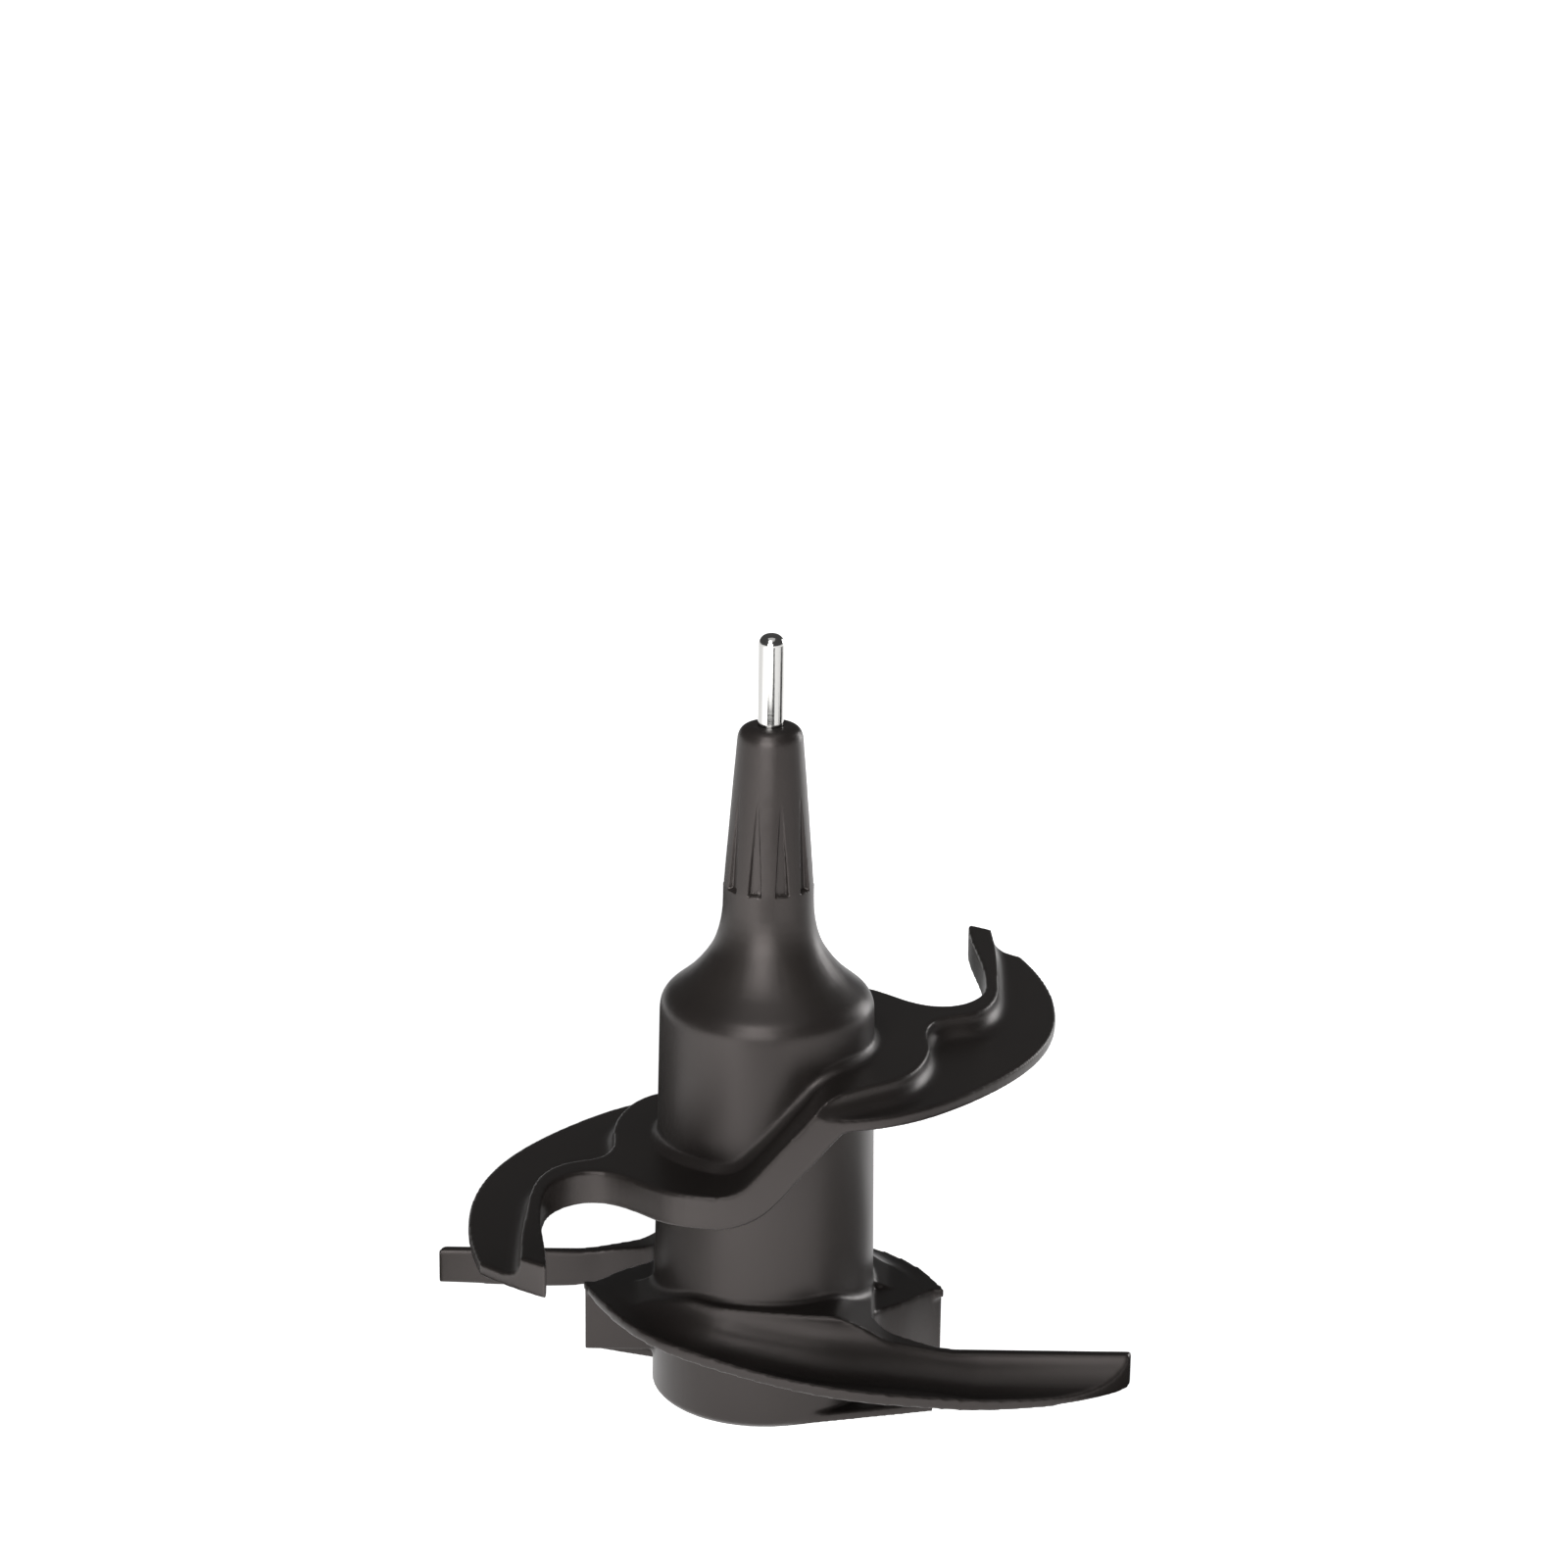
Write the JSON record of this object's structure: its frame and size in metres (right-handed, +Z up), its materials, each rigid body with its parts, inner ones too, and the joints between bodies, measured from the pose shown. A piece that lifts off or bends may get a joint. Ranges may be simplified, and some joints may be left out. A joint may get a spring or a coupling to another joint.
{
  "type": "food processor dough blade",
  "caption": "Black plastic kneading blade: a tall hub with a stepped S-shaped upper blade, scooped lower arms, a fluted neck and a steel pin on top.",
  "frame": {"origin": "centre of the drive socket's mouth, on the plane of the hub's foot", "axes": "+Z up along the hub axis to the steel pin; the front of the picture is towards -Y; the higher upper arm is on the +X side"},
  "size_m": [0.138, 0.1319, 0.1556],
  "materials": {
    "black_plastic": "satin moulded",
    "steel": "polished"
  },
  "bodies": {
    "root": {"kneading_body": "black_plastic", "spindle_pin": "steel"}
  },
  "joints": []
}
